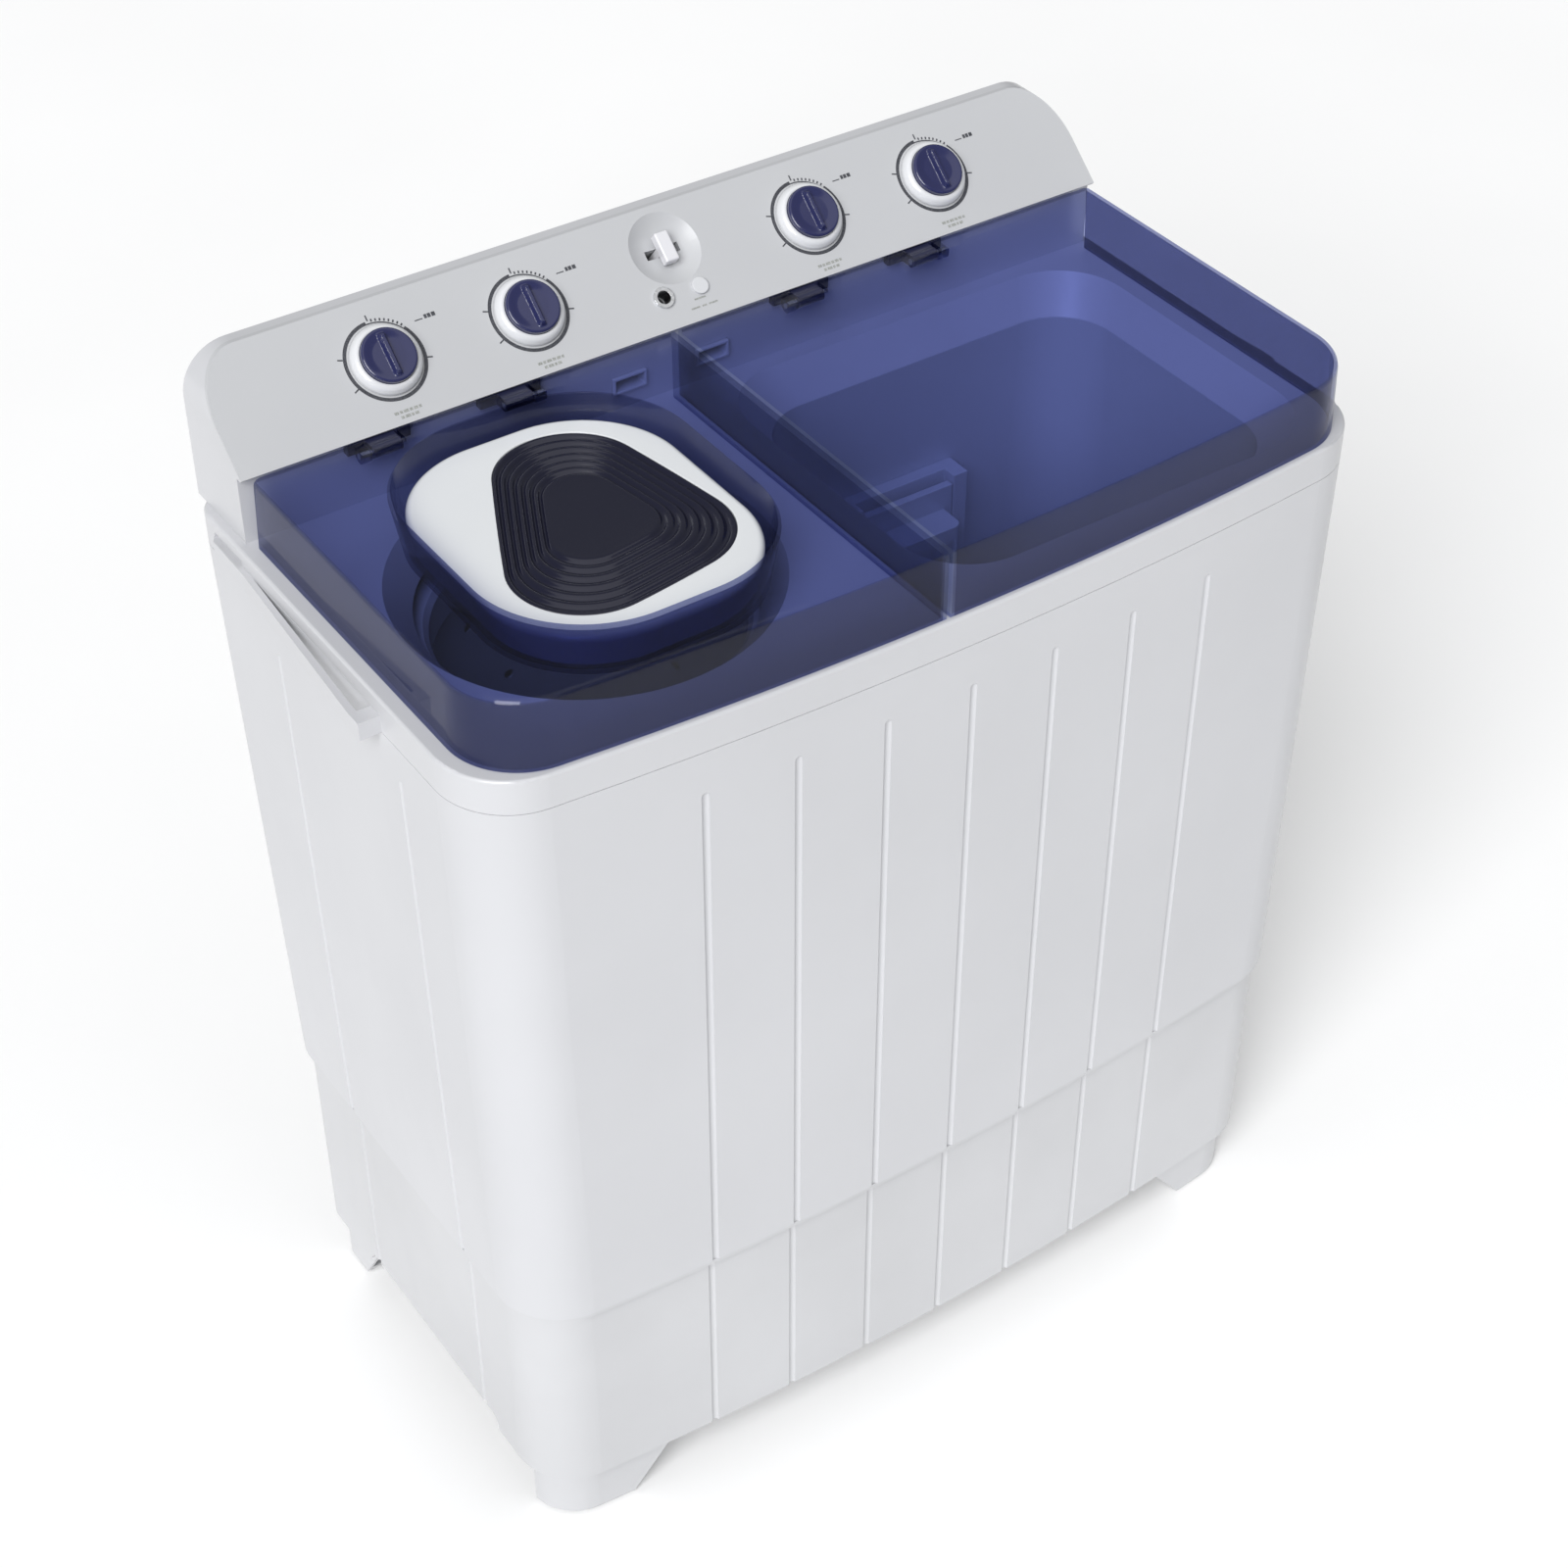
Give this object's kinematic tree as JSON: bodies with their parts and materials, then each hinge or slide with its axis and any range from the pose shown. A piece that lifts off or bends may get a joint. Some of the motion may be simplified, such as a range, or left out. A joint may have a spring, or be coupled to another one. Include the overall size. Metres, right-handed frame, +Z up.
{
  "type": "twin tub washer",
  "caption": "Free-standing top-loading twin tub washer with a pulsator wash tub, a spin basket, clear blue hinged lids, a washboard insert and a sloping control console.",
  "frame": {"origin": "on the floor under the middle of the machine's bounding box", "axes": "+Z up, +X to the right of a person facing the front, front towards -Y"},
  "size_m": [0.829, 0.445, 0.946],
  "materials": {
    "cabinet_white": "gloss",
    "base_white": "gloss",
    "deck_white": "gloss",
    "rear_cover_white": "satin",
    "console_white": "gloss",
    "panel_grey": "satin",
    "foot_rubber": "matt",
    "lid_blue": "gloss",
    "knob_white": "gloss",
    "knob_blue": "gloss",
    "board_white": "gloss",
    "pad_navy": "gloss",
    "lever_white": "gloss",
    "port_chrome": "polished",
    "inlet_white": "gloss",
    "tub_white": "gloss",
    "pulsator_blue": "gloss",
    "basket_white": "gloss",
    "hinge_navy": "satin",
    "steel": "brushed",
    "motor_grey": "satin",
    "black_rubber": "matt",
    "pipe_grey": "matt",
    "switch_black": "matt",
    "pulley_white": "matt",
    "pulley_metal": "turned",
    "can_aluminium": "satin"
  },
  "bodies": {
    "cabinet": {"cabinet_shell": "cabinet_white", "base_frame": "base_white", "foot_pads": "foot_rubber", "rear_cover": "rear_cover_white", "cover_screws": "steel", "top_deck": "deck_white", "wash_tub": "tub_white", "filter_channel": "tub_white", "gearbox_housing": "pulley_white", "pulsator_seal": "black_rubber", "wash_motor": "motor_grey", "wash_motor_buffers": "black_rubber", "drive_belt": "black_rubber", "spin_outer_tub": "tub_white", "spin_boot": "black_rubber", "spin_motor": "motor_grey", "motor_springs": "steel", "drain_valve_body": "pipe_grey", "drain_pipe": "pipe_grey", "capacitor": "can_aluminium", "cord_gland": "black_rubber", "console_housing": "console_white", "control_panel": "panel_grey", "console_back_cover": "rear_cover_white", "inlet_box": "inlet_white", "inlet_port_ring": "port_chrome", "wash_timer": "switch_black", "spin_timer": "switch_black", "wash_selector_switch": "switch_black", "drain_cam_box": "switch_black", "lid_switch": "switch_black", "hinge_arms": "hinge_navy"},
    "wash_lid": {"wash_lid": "lid_blue", "wash_lid_pins": "steel"},
    "spin_lid": {"spin_lid": "lid_blue", "spin_lid_pins": "steel", "scrub_plate": "board_white", "scrub_pad": "pad_navy"},
    "wash_timer_knob": {"wash_timer_skirt": "knob_white", "wash_timer_cap": "knob_blue"},
    "spin_timer_knob": {"spin_timer_skirt": "knob_white", "spin_timer_cap": "knob_blue"},
    "wash_selector_knob": {"wash_selector_skirt": "knob_white", "wash_selector_cap": "knob_blue"},
    "drain_selector_knob": {"drain_selector_skirt": "knob_white", "drain_selector_cap": "knob_blue"},
    "water_lever": {"water_lever": "lever_white"},
    "pulsator": {"pulsator": "pulsator_blue", "pulsator_screw": "pulsator_blue", "pulsator_shaft": "steel", "wash_pulley": "pulley_white"},
    "wash_rotor": {"wash_motor_rotor": "steel", "motor_pulley": "pulley_metal"},
    "spin_basket": {"spin_basket": "basket_white", "balance_ring": "basket_white", "spin_shaft": "steel", "spin_motor_rotor": "steel"},
    "drain_plunger": {"drain_plunger": "steel"},
    "lint_filter": {"lint_filter": "tub_white"},
    "brake": {"brake_lever": "steel"}
  },
  "joints": [
    {"name": "wash_lid_hinge", "type": "hinge", "parent": "cabinet", "child": "wash_lid", "pos_m": [0, 0.1265, 0.8745], "axis": [-1, 0, 0], "range_deg": [0, 100]},
    {"name": "spin_lid_hinge", "type": "hinge", "parent": "cabinet", "child": "spin_lid", "pos_m": [0, 0.1265, 0.8745], "axis": [-1, 0, 0], "range_deg": [0, 100]},
    {"name": "wash_timer_turn", "type": "hinge", "parent": "cabinet", "child": "wash_timer_knob", "pos_m": [0.128, 0.17338, 0.91424], "axis": [0, 0.6528, -0.7576], "range_deg": [0, 300]},
    {"name": "spin_timer_turn", "type": "hinge", "parent": "cabinet", "child": "spin_timer_knob", "pos_m": [-0.25, 0.17338, 0.91424], "axis": [0, 0.6528, -0.7576], "range_deg": [0, 300]},
    {"name": "wash_selector_turn", "type": "hinge", "parent": "cabinet", "child": "wash_selector_knob", "pos_m": [-0.128, 0.17338, 0.91424], "axis": [0, 0.6528, -0.7576], "range_deg": [-45, 45]},
    {"name": "drain_selector_turn", "type": "hinge", "parent": "cabinet", "child": "drain_selector_knob", "pos_m": [0.25, 0.17338, 0.91424], "axis": [0, 0.6528, -0.7576], "range_deg": [0, 90.5]},
    {"name": "water_lever_slide", "type": "slide", "parent": "cabinet", "child": "water_lever", "axis": [1, 0, 0], "range_m": [-0.01, 0.01]},
    {"name": "wash_rotor_spin", "type": "hinge", "parent": "cabinet", "child": "wash_rotor", "pos_m": [0.29, 0.08, 0.247], "axis": [0, 0, 1], "continuous": true},
    {"name": "pulsator_spin", "type": "hinge", "parent": "cabinet", "child": "pulsator", "pos_m": [0.185, -0.028, 0.247], "axis": [0, 0, 1], "continuous": true},
    {"name": "basket_spin", "type": "hinge", "parent": "cabinet", "child": "spin_basket", "pos_m": [-0.205, -0.028, 0.34], "axis": [0, 0, 1], "continuous": true},
    {"name": "drain_plunger_lift", "type": "slide", "parent": "cabinet", "child": "drain_plunger", "axis": [0, 0, 1], "range_m": [0, 0.01]},
    {"name": "lint_filter_lift", "type": "slide", "parent": "cabinet", "child": "lint_filter", "axis": [0, 0, 1], "range_m": [0, 0.18]},
    {"name": "brake_turn", "type": "hinge", "parent": "cabinet", "child": "brake", "pos_m": [-0.121, -0.062, 0.254], "axis": [0, 0, 1], "range_deg": [0, 2.15]}
  ],
  "couplings": [
    {"joint": "pulsator_spin", "follows": "wash_rotor_spin", "ratio": 0.28437},
    {"joint": "brake_turn", "follows": "spin_lid_hinge", "ratio": 0.021},
    {"joint": "drain_selector_turn", "follows": "drain_plunger_lift", "rad_per_m": 157.08}
  ]
}
